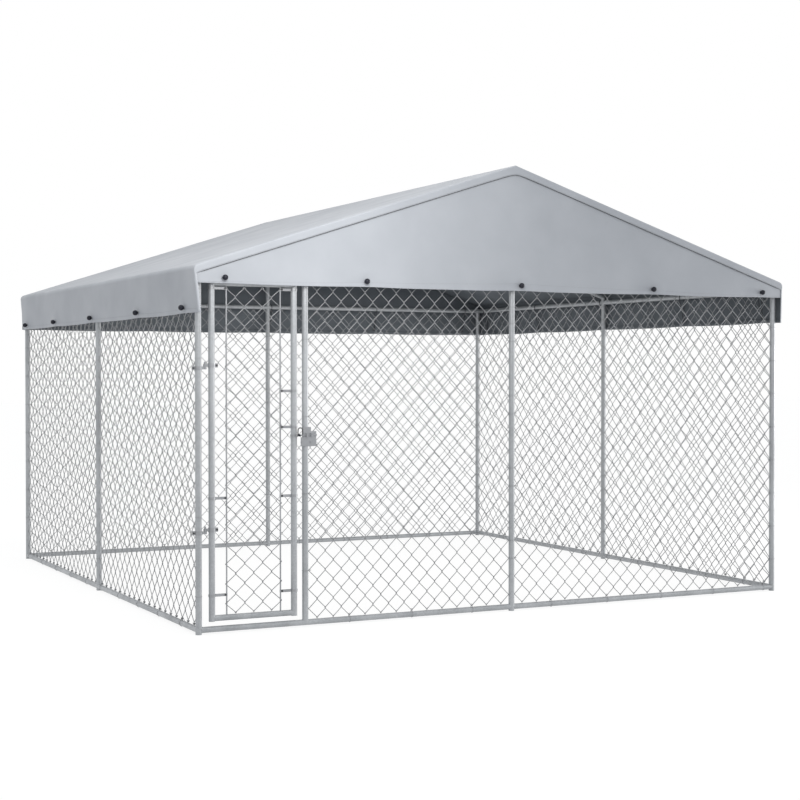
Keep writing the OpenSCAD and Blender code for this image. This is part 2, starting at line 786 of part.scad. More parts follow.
// A band round the latch stile with an open cradle in front, into which the bolt slides
module latch_keeper() {
    outer_r = post_r + seat_gap + keeper_t;
    cradle_y = bolt_y - bolt_dia / 2 - keeper_gap - keeper_t;
    cradle_z = bolt_z - bolt_dia / 2 - keeper_gap - keeper_t;
    cradle_depth = -half_d - post_r / 2 - cradle_y;
    cradle_h = bolt_dia + keeper_gap + keeper_t;
    color(steel) difference() {
        union() {
            translate([latch_stile_at.x, -half_d, cradle_z]) cylinder(r = outer_r, h = cradle_h);
            translate([keeper_x, cradle_y, cradle_z]) cube([keeper_w, cradle_depth, cradle_h]);
        }
        translate([latch_stile_at.x, -half_d, cradle_z - 1])
            cylinder(r = post_r + seat_gap, h = cradle_h + 2);
        translate([keeper_x - 1, bolt_y - bolt_dia / 2 - keeper_gap, bolt_z - bolt_dia / 2 - keeper_gap])
            cube([keeper_w + 2, bolt_dia + 2 * keeper_gap, 2 * bolt_dia]);
    }
}

module latch_bolt() {
    color(steel) translate([bolt_tip_x, bolt_y, bolt_z]) rotate([0, 90, 0])
        cylinder(d = bolt_dia, h = bolt_len);
}

// The loop handle that stands on the bolt, left of the plate
module latch_handle() {
    straight = handle_h - handle_gap / 2 - handle_dia / 2;
    color(dark_steel) difference() {
        union() {
            for (x = [handle_left_x, handle_left_x + handle_gap])
                translate([x, bolt_y, bolt_z]) cylinder(d = handle_dia, h = straight);
            translate([handle_left_x + handle_gap / 2, bolt_y, bolt_z + straight]) rotate([90, 0, 0])
                rotate_extrude(angle = 180) translate([handle_gap / 2, 0]) circle(d = handle_dia, $fn = 24);
        }
        translate([bolt_tip_x - 1, bolt_y, bolt_z]) rotate([0, 90, 0])
            cylinder(r = bolt_dia / 2 + seat_gap, h = bolt_len);
    }
}

module latch_knob() {
    color(black) difference() {
        translate([knob_x, bolt_y - knob_start, bolt_z]) rotate([90, 0, 0])
            cylinder(d = knob_dia, h = bolt_dia / 2 + knob_len - knob_start);
        translate([bolt_tip_x - 1, bolt_y, bolt_z]) rotate([0, 90, 0])
            cylinder(r = bolt_dia / 2 + seat_gap, h = bolt_len);
    }
}

post(corner_fl);  // corner_post_front_left
post(corner_fr);  // corner_post_front_right
post(corner_bl);  // corner_post_back_left
post(corner_br);  // corner_post_back_right
tall_post(middle_f);  // center_post_front
tall_post(middle_b);  // center_post_back
post(middle_l);  // center_post_left
post(middle_r);  // center_post_right
gate_post();
bottom_rails(corner_fl, middle_f, corner_fr, 1);  // bottom_rails_front
bottom_rails(corner_bl, middle_b, corner_br, -1);  // bottom_rails_back
bottom_rails(corner_fl, middle_l, corner_bl, -1);  // bottom_rails_left
bottom_rails(corner_fr, middle_r, corner_br, 1);  // bottom_rails_right
top_rails(corner_fl, middle_f, corner_fr, 1);  // top_rails_front
top_rails(corner_bl, middle_b, corner_br, -1);  // top_rails_back
top_rails(corner_fl, middle_l, corner_bl, -1);  // top_rails_left
top_rails(corner_fr, middle_r, corner_br, 1);  // top_rails_right
mesh_panel(gate_post_at, middle_f);  // mesh_front_left
mesh_panel(middle_f, corner_fr);  // mesh_front_right
mesh_panel(corner_bl, middle_b);  // mesh_back_left
mesh_panel(middle_b, corner_br);  // mesh_back_right
mesh_panel(corner_fl, middle_l);  // mesh_left_front
mesh_panel(middle_l, corner_bl);  // mesh_left_back
mesh_panel(corner_fr, middle_r);  // mesh_right_front
mesh_panel(middle_r, corner_br);  // mesh_right_back
ridge_pole();
rafter(-1);  // rafter_left
rafter(1);  // rafter_right
rafter_seats();
ridge_tees();
canopy_roof();
canopy_gable_front();
canopy_gable_back();
canopy_eyelets();
canopy_balls();
elastic_loops();
post_hinges();
post_hinge_bolts();
latch_plate();
latch_clamp();
latch_clamp_bolts();
gate_stile(hinge_stile_at);  // gate_hinge_stile
gate_stile(latch_stile_at);  // gate_latch_stile
rail(hinge_stile_at, latch_stile_at, gate_top_rail_z);  // gate_top_rail
rail(hinge_stile_at, latch_stile_at, gate_bottom_rail_z);  // gate_bottom_rail
gate_mesh();
gate_bar(hinge_bar_at);  // gate_hinge_bar
gate_bar(latch_bar_at);  // gate_latch_bar
gate_tension_bands();
gate_band_bolts();
gate_hinges();
gate_hinge_bolts();
latch_keeper();
latch_bolt();
latch_handle();
latch_knob();
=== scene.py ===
"""Looks of the outdoor dog kennel run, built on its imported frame. All sizes are in metres."""

import json
import math

import bpy
import numpy as np
from mathutils import Matrix, Vector


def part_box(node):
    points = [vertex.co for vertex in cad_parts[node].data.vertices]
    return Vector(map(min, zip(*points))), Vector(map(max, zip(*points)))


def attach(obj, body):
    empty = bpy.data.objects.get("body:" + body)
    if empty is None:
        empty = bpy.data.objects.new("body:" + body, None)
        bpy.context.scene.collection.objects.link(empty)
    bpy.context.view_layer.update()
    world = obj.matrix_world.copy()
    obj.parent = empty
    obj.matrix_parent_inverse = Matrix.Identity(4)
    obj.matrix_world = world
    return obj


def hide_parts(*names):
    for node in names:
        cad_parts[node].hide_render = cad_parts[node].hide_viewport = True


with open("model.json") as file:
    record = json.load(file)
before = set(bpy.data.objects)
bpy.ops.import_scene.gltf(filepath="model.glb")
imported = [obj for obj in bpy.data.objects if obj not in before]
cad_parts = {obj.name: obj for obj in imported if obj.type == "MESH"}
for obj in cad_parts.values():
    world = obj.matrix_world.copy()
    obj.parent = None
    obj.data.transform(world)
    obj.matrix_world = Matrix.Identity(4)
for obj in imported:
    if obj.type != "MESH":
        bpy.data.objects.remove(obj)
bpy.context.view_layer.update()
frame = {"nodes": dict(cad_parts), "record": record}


def centre(node):
    lo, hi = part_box(node)
    return (lo + hi) / 2


def half_size(node):
    lo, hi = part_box(node)
    return (hi - lo) / 2


# Frame sizes
HALF_W = centre("corner_post_front_right").x
HALF_D = centre("corner_post_back_right").y
POST_R = half_size("corner_post_front_right").x
RAIL_R = half_size("top_rails_front").z
TOP_RAIL_Z = centre("top_rails_front").z
BOTTOM_RAIL_Z = centre("bottom_rails_front").z

# Chain-link sizes
WIRE_R = 0.0022
WIRE_SIDES = 6
WIRE_DEPTH = 0.0025
HALF_DIAMOND = 0.0495
LEG_RISE = 0.0525
HOOK_OUT = 0.0027
NOSE = 0.0040
NOSE_RISE = 0.0043
KNUCKLE_TURN = 0.001
# Shoulder of a wide bend as shares of nose, depth and rise, then the knuckled end: back, out and up
WIDE_BEND = (1 / 6, 0.75, 0.5)
KNUCKLE = ((0.0105, 0.0014, 0.0098), (0.0100, 0.0013, 0.0090), (0.0075, 0.0010, 0.0030))
GATE_COLUMNS = 6
MESH_EDGE = 0.0052
MESH_END = 0.0045
TIE_R = 0.0011
TIE_SIDES = 5
TIE_LOOP_R = 0.0058
TIE_REACH = 0.006
TIE_STEP = 8
FIRST_RAIL_TIES = (5, 4)
TIE_SLACK = 0.0003
BAR_SLACK = 0.0004
# First bends tied to the left and right posts, for panels that run along x and for the others
FIRST_POST_TIES = {True: (5, 7), False: (3, 9)}

# Canopy sizes
ROOF_LO, ROOF_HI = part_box("canopy_roof")
EAVE_X = ROOF_HI.x
GABLE_Y = ROOF_HI.y
SIDE_HEM_Z = ROOF_LO.z
FRONT_HEM_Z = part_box("canopy_gable_front")[0].z
BACK_HEM_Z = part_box("canopy_gable_back")[0].z
GABLE_FACE_Y = -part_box("canopy_gable_front")[0].y
EAVE_Z = 1.947
RIDGE_Z = 2.577
FOLD_R = 0.030
RIDGE_R = 0.012
LEAN = math.radians(2)
SHEET_T = 0.0012
HEM_R = 0.0016
HEM_W = 0.025
TURNED_IN = 0.6
RAKE_BAND = 0.045
CORNER_BAND = 0.014
RAKE_TURN = 0.010
CORNER_TURN = 0.011
APEX_ROUND = 0.030
ROOF_SAG = 0.006
UNEVEN = 0.0016
RIPPLES = ((1.0, 5.1, 2.3, 0.4), (1.0, -3.7, 6.4, 1.9), (0.6, 9.3, 1.1, 4.2), (0.6, 2.2, -8.9, 0.9))
GABLE_RIPPLES = (1.3, 2.0)
VALANCE_WAVE = 0.005
HEM_WAVES = ((0.6, 10.1, 0.0), (0.4, 17.3, 1.9))
HEM_HOLD = 0.16
HEM_REACH = 0.11
ROOF_PHASE = 0.7
FRONT_PHASE = 0.3
BACK_PHASE = 2.1
PUCKER = 0.0030
PUCKER_RING = 0.055
PUCKER_WIDTH = 0.022
HEM_DROOP = 0.004
CORNER_LEAN = 0.045
CORNER_REACH = 0.22
GABLE_BULGE = 0.008
BULGE_POWER = 3
EDGE_POWER = 8
SIDE_GAP = 0.004
ROOF_GAP = 0.009
WRAP_R = 0.010
WRAP_TAIL = 0.012
WRAPS = ((math.pi / 2, WRAP_TAIL), (math.pi / 2, 0), (math.pi / 3, 0), (math.pi / 6, 0))
BALL_INSET = 0.130
BALL_OFFSET = 0.030
EYELET_RISE = 0.030
CORD_R = 0.002
CORD_SIDES = 8
CORD_SLACK = 0.0004
NECK_SLACK = 0.0006
STEM = (-0.001, 0.0, 0.006, 0.012, 0.018, 0.0215, 0.022)
NECK = 0.0115
STITCH_STEP = 0.008
STITCH_MARGIN = 0.010
STITCH_LIFT = 0.0002
HEM_STITCH_RISE = 0.8 * HEM_W
RAKE_STITCH_RISE = 0.007
# Dark strip along the lower edge of each rake band: a painted shadow line, standing in for the shade under
# the band's edge
SHADOW_LINE_R = 0.0022
SHADOW_LINE_SIDES = 6
SHADOW_LINE_SINK = 0.0004
SHADOW_LINE_END = 0.012
SHADOW_LINE_APEX = 0.12
STITCH = (0.005, 0.0009, 0.0005)
# Rows of a gable's hem from its turned-in edge: lift above the fold, and layer
GABLE_HEM = (
    (HEM_W, 1.0), (HEM_W / 2, 1.0), (0.0, 1.0),
    (-HEM_R * 0.8, 0.8), (-HEM_R, 0.5), (-HEM_R * 0.8, 0.2))

SLOPE = math.atan2(RIDGE_Z - EAVE_Z, EAVE_X)
FOLD_AT = (EAVE_X - FOLD_R, EAVE_Z - FOLD_R * (1 - math.sin(SLOPE)) / math.cos(SLOPE))
RIDGE_AT = (0.0, RIDGE_Z - RIDGE_R / math.cos(SLOPE))
VALANCE_TOP = (FOLD_AT[0] + FOLD_R * math.cos(LEAN), FOLD_AT[1] - FOLD_R * math.sin(LEAN))
BAY = HALF_D
ROOF_INNER = GABLE_Y - CORNER_TURN - SIDE_GAP

# Points of the canopy sheets
ROOF_COLUMNS = 132
RIDGE_ROWS = 4
SLOPE_ROWS = 34
FOLD_ROWS = 10
VALANCE_ROWS = 15
HEM_ANGLES = np.radians((-40, -90, -140))
RAKE_ANGLES = np.radians((18, 36, 54, 72, 90))
BAND_SHARES = (0.25, 0.5, 0.75, 1)
GABLE_COLUMNS = 131
GABLE_ROWS = 40
GABLE_CROWDING = 1.35
STITCH_ROWS = 8
SHADOW_LINE_SLOPE_POINTS = 60
SHADOW_LINE_APEX_POINTS = 25


# Mesh helpers

def place(name, mesh, body, matrix=None):
    """A mesh as a piece that moves with a body."""
    piece = bpy.data.objects.new(name, mesh)
    bpy.context.scene.collection.objects.link(piece)
    if matrix is not None:
        piece.matrix_world = matrix
    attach(piece, body)
    return piece


def new_mesh(name, vertices, faces, *materials):
    mesh = bpy.data.meshes.new(name)
    mesh.from_pydata(np.asarray(vertices).tolist(), [], np.asarray(faces).tolist())
    mesh.polygons.foreach_set("use_smooth", [True] * len(mesh.polygons))
    for material in materials:
        mesh.materials.append(material)
    mesh.update()
    return mesh


def grid_faces(rows, columns):
    """Quads of a grid of points stored row by row."""
    i = np.arange(rows - 1)[:, None] * columns
    j = np.arange(columns - 1)[None]
    corner = i + j
    return np.stack([corner, corner + columns, corner + columns + 1, corner + 1], -1).reshape(-1, 4)


def joined(parts):
    """Several pairs of vertices and faces as one pair."""
    vertices, faces, start = [], [], 0
    for points, quads in parts:
        vertices.append(points)
        faces.append(quads + start)
        start += len(points)
    return np.concatenate(vertices), np.concatenate(faces)


# A direction that no path starts along, and the share of the radius left at an open end
OFF_AXIS = (0.31, 0.87, 0.38)
END_TAPER = 0.25


def sweep(path, radius, sides, closed=False):
    """Vertices and faces of a round tube along a path of points."""
    path = np.asarray(path, float)
    count = len(path)
    radii = np.full(count, radius)
    if closed:
        tangents = np.roll(path, -1, 0) - np.roll(path, 1, 0)
    else:
        tangents = np.gradient(path, axis=0)
        radii[[0, -1]] = radius * END_TAPER
    tangents /= np.linalg.norm(tangents, axis=1)[:, None]
    normal = np.cross(tangents[0], OFF_AXIS)
    normals = np.empty_like(path)
    for k, tangent in enumerate(tangents):
        normal = normal - tangent * normal.dot(tangent)
        normal /= np.linalg.norm(normal)
        normals[k] = normal
    binormals = np.cross(tangents, normals)
    turn = np.arange(sides) * 2 * math.pi / sides
    cosine = np.cos(turn)[None, :, None]
    sine = np.sin(turn)[None, :, None]
    rings = cosine * normals[:, None] + sine * binormals[:, None]
    vertices = (path[:, None] + radii[:, None, None] * rings).reshape(-1, 3)
    i = np.arange(count if closed else count - 1)[:, None]
    j = np.arange(sides)[None]
    after = (i + 1) % count
    beside = (j + 1) % sides
    faces = [i * sides + j, i * sides + beside, after * sides + beside, after * sides + j]
    return vertices, np.stack(np.broadcast_arrays(*faces), -1).reshape(-1, 4)


def belt(first, first_r, second, second_r, steps=8):
    """Closed flat path drawn tight round two circles."""
    first = np.asarray(first, float)
    second = np.asarray(second, float)
    run = second - first
    heading = math.atan2(run[1], run[0])
    open_angle = math.acos((first_r - second_r) / np.linalg.norm(run))
    far = heading + np.linspace(open_angle, 2 * math.pi - open_angle, 2 * steps)
    near = heading + np.linspace(-open_angle, open_angle, steps)
    return np.concatenate([
        first + first_r * np.stack([np.cos(far), np.sin(far)], -1),
        second + second_r * np.stack([np.cos(near), np.sin(near)], -1)])


BLOCK_CORNERS = (
    (-1, -1, -1), (1, -1, -1), (1, 1, -1), (-1, 1, -1),
    (-1, -1, 1), (1, -1, 1), (1, 1, 1), (-1, 1, 1))
BLOCK_FACES = np.array([[4, 5, 6, 7], [0, 3, 2, 1], [0, 1, 5, 4], [1, 2, 6, 5], [2, 3, 7, 6], [3, 0, 4, 7]])


def bars(centres, along, out, size):
    """Small blocks, each centred on a point, lying along one direction and standing out along another."""
    along = along / np.linalg.norm(along, axis=1)[:, None]
    across = np.cross(out, along)
    corners = []
    for a, b, c in BLOCK_CORNERS:
        corners.append(centres + (a * size[0] * along + b * size[1] * across + c * size[2] * out) / 2)
    vertices = np.stack(corners, 1).reshape(-1, 3)
    faces = (np.arange(len(centres))[:, None, None] * len(BLOCK_CORNERS) + BLOCK_FACES).reshape(-1, 4)
    return vertices, faces


# Materials

def new_material(name, roughness=0.5, metallic=0.0, specular=0.5):
    material = bpy.data.materials.new(name)
    material.use_nodes = True
    shader = material.node_tree.nodes["Principled BSDF"]
    shader.inputs["Roughness"].default_value = roughness
    shader.inputs["Metallic"].default_value = metallic
    shader.inputs["Specular IOR Level"].default_value = specular
    return material, material.node_tree, shader


def add(tree, kind, inputs=None, **settings):
    """A new shader node with its settings and input values."""
    node = tree.nodes.new(kind)
    for name, value in settings.items():
        setattr(node, name, value)
    for name, value in (inputs or {}).items():
        node.inputs[name].default_value = value
    return node


def coordinates(tree):
    return add(tree, "ShaderNodeTexCoord").outputs["Object"]


def noise_value(tree, where, scale, detail=3.0, stretch=(1, 1, 1)):
    mapping = add(tree, "ShaderNodeMapping", {"Scale": stretch})
    tree.links.new(where, mapping.inputs["Vector"])
    texture = add(tree, "ShaderNodeTexNoise", {"Scale": scale, "Detail": detail})
    tree.links.new(mapping.outputs["Vector"], texture.inputs["Vector"])
    return texture.outputs["Fac"]


def spread(tree, value, to_lo, to_hi, from_lo=0.3, from_hi=0.7):
    """A value stretched from one range to another."""
    limits = {"From Min": from_lo, "From Max": from_hi, "To Min": to_lo, "To Max": to_hi}
    node = add(tree, "ShaderNodeMapRange", limits)
    tree.links.new(value, node.inputs["Value"])
    return node.outputs["Result"]


def mixed(tree, factor, first, second):
    """A colour between two, each a socket or a plain colour."""
    node = add(tree, "ShaderNodeMix", data_type="RGBA")
    tree.links.new(factor, node.inputs["Factor"])
    for socket, colour in (("A", first), ("B", second)):
        target = [s for s in node.inputs if s.name == socket and s.type == "RGBA"][0]
        if isinstance(colour, tuple):
            target.default_value = (*colour, 1.0)
        else:
            tree.links.new(colour, target)
    return [s for s in node.outputs if s.type == "RGBA"][0]


def bumped(tree, shader, height, strength, distance):
    node = add(tree, "ShaderNodeBump", {"Strength": strength, "Distance": distance})
    tree.links.new(height, node.inputs["Height"])
    tree.links.new(node.outputs["Normal"], shader.inputs["Normal"])


STREAK_SCALE = 9.0
STREAK_STRETCH = (1, 1, 0.25)
SPANGLE_SHARE = 0.35
TOOTH_SCALE = 700.0
WEAVE_SCALE = 210.0


def galvanised(name, light, dark, roughness, metallic, spangle):
    """Zinc-coated steel: flat crystals of two greys, dull streaks and a fine tooth."""
    material, tree, shader = new_material(name, metallic=metallic)
    where = coordinates(tree)
    cells = add(tree, "ShaderNodeTexVoronoi", {"Scale": spangle})
    tree.links.new(where, cells.inputs["Vector"])
    split = add(tree, "ShaderNodeSeparateColor")
    tree.links.new(cells.outputs["Color"], split.inputs["Color"])
    streaks = noise_value(tree, where, STREAK_SCALE, 4.0, STREAK_STRETCH)
    blend = add(tree, "ShaderNodeMath", operation="MULTIPLY_ADD", inputs={1: SPANGLE_SHARE})
    tree.links.new(split.outputs["Red"], blend.inputs[0])
    tree.links.new(spread(tree, streaks, 0.0, 1 - SPANGLE_SHARE), blend.inputs[2])
    tree.links.new(mixed(tree, blend.outputs[0], dark, light), shader.inputs["Base Color"])
    tree.links.new(spread(tree, streaks, roughness + 0.08, roughness - 0.06), shader.inputs["Roughness"])
    bumped(tree, shader, noise_value(tree, where, TOOTH_SCALE, 2.0), 0.08, 0.0004)
    return material


def cloth(name, light, dark, roughness, mottle, specular=0.5):
    """Coated woven sheet: a fine weave, faint clouds of two tones and a soft sheen."""
    material, tree, shader = new_material(name, roughness, specular=specular)
    where = coordinates(tree)
    clouds = noise_value(tree, where, mottle, 5.0)
    tree.links.new(mixed(tree, spread(tree, clouds, 0.0, 1.0), dark, light), shader.inputs["Base Color"])
    tree.links.new(spread(tree, clouds, roughness + 0.06, roughness - 0.06), shader.inputs["Roughness"])
    weave = None
    for direction in ("X", "Y", "Z"):
        look = {"Scale": WEAVE_SCALE, "Distortion": 0.4}
        thread = add(tree, "ShaderNodeTexWave", look, bands_direction=direction)
        tree.links.new(where, thread.inputs["Vector"])
        if weave is None:
            weave = thread.outputs["Fac"]
        else:
            total = add(tree, "ShaderNodeMath", operation="ADD")
            tree.links.new(weave, total.inputs[0])
            tree.links.new(thread.outputs["Fac"], total.inputs[1])
            weave = total.outputs[0]
    bumped(tree, shader, weave, 0.06, 0.0003)
    return material


def plain(name, light, dark, roughness, grain, bump, specular=0.5):
    """Moulded plastic, cord or painted metal: two close tones and a fine grain."""
    material, tree, shader = new_material(name, roughness, specular=specular)
    where = coordinates(tree)
    speckle = noise_value(tree, where, grain, 4.0)
    tree.links.new(mixed(tree, spread(tree, speckle, 0.0, 1.0), dark, light), shader.inputs["Base Color"])
    tree.links.new(spread(tree, speckle, roughness + 0.07, roughness - 0.07), shader.inputs["Roughness"])
    bumped(tree, shader, noise_value(tree, where, grain * 4, 2.0), bump, 0.0004)
    return material


TUBE = galvanised("galvanised_tube", (0.500, 0.518, 0.540), (0.350, 0.365, 0.383), 0.42, 0.40, 110.0)
WIRE = galvanised("galvanised_wire", (0.385, 0.393, 0.405), (0.265, 0.272, 0.283), 0.45, 0.45, 260.0)
ZINC = galvanised("zinc_hardware", (0.42, 0.43, 0.45), (0.28, 0.29, 0.305), 0.36, 0.7, 180.0)
DARK = plain("dark_hardware", (0.050, 0.052, 0.056), (0.022, 0.023, 0.026), 0.40, 160.0, 0.1)
CLOTH_OUT = cloth("canopy_outside", (0.453, 0.477, 0.518), (0.408, 0.431, 0.471), 0.5, 3.5)
CLOTH_IN = cloth("canopy_inside", (0.166, 0.184, 0.203), (0.137, 0.152, 0.169), 0.70, 4.0, 0.1)
# Dark grey of the strip under each rake band: painted shade for the shadow line under the band's edge
PAINTED_SHADOW_LINE = plain("canopy_painted_shadow_line", (0.16, 0.165, 0.175), (0.11, 0.115, 0.125), 0.7, 220.0, 0.2)
THREAD = plain("canopy_thread", (0.36, 0.37, 0.39), (0.28, 0.29, 0.31), 0.7, 400.0, 0.2)
BLACK = plain("black_plastic", (0.020, 0.022, 0.034), (0.012, 0.013, 0.020), 0.40, 90.0, 0.06, 0.25)
CORD = plain("elastic_cord", (0.035, 0.036, 0.042), (0.015, 0.016, 0.019), 0.75, 900.0, 0.3)
EYELET = galvanised("eyelet_metal", (0.34, 0.35, 0.36), (0.20, 0.21, 0.22), 0.35, 0.8, 300.0)

SLOT_MATERIALS = {
    "galvanised_tube": TUBE,
    "galvanised_wire": WIRE,
    "zinc_hardware": ZINC,
    "dark_hardware": DARK,
    "canopy_cloth": CLOTH_OUT,
    "black_plastic": BLACK,
    "elastic_cord": CORD,
    "eyelet_metal": EYELET,
}


def finish_cad_nodes():
    """Gives every CAD node the material of its slot."""
    for part in frame["record"]["subparts"]:
        mesh = frame["nodes"][part["node"]].data
        mesh.materials.clear()
        mesh.materials.append(SLOT_MATERIALS[part["material_slot"]])


# Chain link

def picket(lead, legs, rise, reach, depth):
    """Points of one zigzag wire that starts on the lead side; reach and depth are given for each side."""
    points = []
    for k in range(legs + 1):
        side = lead * (-1) ** k
        z = k * rise
        tip = side * reach[side]
        d = depth[side]
        neck = tip - side * NOSE
        bend = [(neck, -side * d, z - NOSE_RISE), (tip, 0, z), (neck, side * d, z + NOSE_RISE)]
        if d > WIRE_DEPTH:
            back, out, lift = WIDE_BEND
            shoulder = tip - side * NOSE * back
            bend.insert(1, (shoulder, -side * d * out, z - NOSE_RISE * lift))
            bend.insert(3, (shoulder, side * d * out, z + NOSE_RISE * lift))
        if k == 0:
            bend[0] = (neck, -side * d, z - KNUCKLE_TURN)
            bend = [(tip - side * back, -side * (d + out), z + lift) for back, out, lift in KNUCKLE] + bend
        if k == legs:
            bend[-1] = (neck, side * d, z + KNUCKLE_TURN)
            bend += [(tip - side * back, side * (d + out), z - lift) for back, out, lift in KNUCKLE[::-1]]
        points += bend
    return points


def chain_link(columns, pitch, legs, rise, end_reach, end_depth):
    """Interlocked zigzag wires standing in the XZ plane, the first edge at x = 0."""
    parts = []
    for column in range(columns):
        reach = {1: pitch / 2 + HOOK_OUT, -1: pitch / 2 + HOOK_OUT}
        depth = {1: WIRE_DEPTH, -1: WIRE_DEPTH}
        if column == 0:
            reach[-1] = pitch / 2 + end_reach
            depth[-1] = end_depth
        if column == columns - 1:
            reach[1] = pitch / 2 + end_reach
            depth[1] = end_depth
        lead = 1 if column % 2 == 0 else -1
        points, quads = sweep(picket(lead, legs, rise, reach, depth), WIRE_R, WIRE_SIDES)
        parts.append((points + ((column + 0.5) * pitch, 0, 0), quads))
    return joined(parts)


def panel_ties(width, height, pitch, columns, rise, legs, first_left, first_right):
    """Wire ties that hold a panel to its rails and posts, in the panel's own frame."""
    parts = []
    rail_path_r = RAIL_R + TIE_R + TIE_SLACK
    post_path_r = POST_R + TIE_R + TIE_SLACK
    net_bottom_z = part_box("mesh_front_right")[0].z
    rails = (
        (BOTTOM_RAIL_Z - net_bottom_z, MESH_END + TIE_REACH, FIRST_RAIL_TIES[0]),
        (TOP_RAIL_Z - net_bottom_z, height - MESH_END - TIE_REACH, FIRST_RAIL_TIES[1]))
    for rail_z, loop_z, first in rails:
        for node in range(first, columns, TIE_STEP):
            path = belt((0, rail_z), rail_path_r, (0, loop_z), TIE_LOOP_R)
            x = MESH_EDGE + node * pitch
            parts.append(sweep([(x, y, z) for y, z in path], TIE_R, TIE_SIDES, closed=True))
    posts = (
        (-POST_R, MESH_EDGE + TIE_REACH, first_left),
        (width + POST_R, width - MESH_EDGE - TIE_REACH, first_right))
    for post_x, loop_x, first in posts:
        for bend in range(first, legs, TIE_STEP):
            path = belt((post_x, 0), post_path_r, (loop_x, 0), TIE_LOOP_R)
            z = MESH_END + bend * rise
            parts.append(sweep([(x, y, z) for x, y in path], TIE_R, TIE_SIDES, closed=True))
    return joined(parts)


def panel_matrix(node):
    """Where a panel's own frame stands: at its lower corner, turned to run along its longer side."""
    lo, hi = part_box(node)
    middle = (lo + hi) / 2
    if hi.x - lo.x > hi.y - lo.y:
        return Matrix.Translation((lo.x, middle.y, lo.z))
    return Matrix.Translation((middle.x, lo.y, lo.z)) @ Matrix.Rotation(math.pi / 2, 4, "Z")


def build_panels():
    """The eight fixed panels; those of one size share a mesh."""
    meshes = {}
    for node in [name for name in frame["nodes"] if name.startswith("mesh_")]:
        size = 2 * half_size(node)
        width = max(size.x, size.y)
        along_x = size.x > size.y
        columns = 2 * round((width - 2 * MESH_EDGE) / (2 * HALF_DIAMOND))
        legs = round((size.z - 2 * MESH_END) / LEG_RISE)
        pitch = (width - 2 * MESH_EDGE) / columns
        rise = (size.z - 2 * MESH_END) / legs
        if columns not in meshes:
            points, quads = chain_link(columns, pitch, legs, rise, HOOK_OUT, WIRE_DEPTH)
            points = points + (MESH_EDGE, 0, MESH_END)
            meshes[columns] = new_mesh("chain_link_%d" % columns, points, quads, WIRE)
        ties_key = (columns, along_x)
        if ties_key not in meshes:
            firsts = FIRST_POST_TIES[along_x]
            points, quads = panel_ties(width, size.z, pitch, columns, rise, legs, *firsts)
            meshes[ties_key] = new_mesh("ties_%d_%d" % (columns, along_x), points, quads, WIRE)
        matrix = panel_matrix(node)
        panel = place("chain_link_" + node, meshes[columns], "frame", matrix)
        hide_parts(node)
        place("ties_" + node, meshes[ties_key], "frame", matrix)


def build_gate_mesh():
    """The gate's panel, its outer bends wrapped round the two tension bars."""
    hinge_bar = centre("gate_hinge_bar")
    latch_bar = centre("gate_latch_bar")
    bar = half_size("gate_hinge_bar")
    lo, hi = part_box("gate_mesh")
    pitch = (latch_bar.x - hinge_bar.x) / GATE_COLUMNS
    height = hi.z - lo.z - 2 * MESH_END
    legs = round(height / LEG_RISE)
    reach = bar.x + WIRE_R + BAR_SLACK
    depth = bar.y + WIRE_R + 2 * BAR_SLACK
    points, quads = chain_link(GATE_COLUMNS, pitch, legs, height / legs, reach, depth)
    points = points + (hinge_bar.x, hinge_bar.y, lo.z + MESH_END)
    mesh = new_mesh("chain_link_gate", points, quads, WIRE)
    panel = place("chain_link_gate", mesh, "gate")
    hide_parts("gate_mesh")


# Canopy

def fastener_spots(half):
    return np.array([BALL_INSET - half, -half / 2, BALL_OFFSET, half / 2, half - BALL_INSET])


def nearest(where, spots):
    """Distance to the nearest spot."""
    return np.min(np.abs(where[..., None] - spots), axis=-1)


def ripple(a, b):
    """Smooth uneven values from about -1 to 1."""
    total = sum(weight * np.sin(p * a + q * b + shift) for weight, p, q, shift in RIPPLES)
    return total / sum(weight for weight, *_ in RIPPLES)


def hem_wave(where, spots, phase):
    """Push of a hem in and out, as a share of the greatest, and how loose it is away from its fasteners."""
    loose = 1 - np.exp(-(nearest(where, spots) / HEM_HOLD) ** 2)
    wave = sum(weight * np.sin(turns * where + shift + phase) for weight, turns, shift in HEM_WAVES)
    return loose * wave, loose


def pucker(where, height, spots):
    """Raised ring round each eyelet, where the cord pulls the sheet."""
    away = np.sqrt(nearest(where, spots) ** 2 + (height - EYELET_RISE) ** 2)
    return PUCKER * np.exp(-((away - PUCKER_RING) / PUCKER_WIDTH) ** 2)


def valance_x(z):
    return VALANCE_TOP[0] - (VALANCE_TOP[1] - z) * math.tan(LEAN)


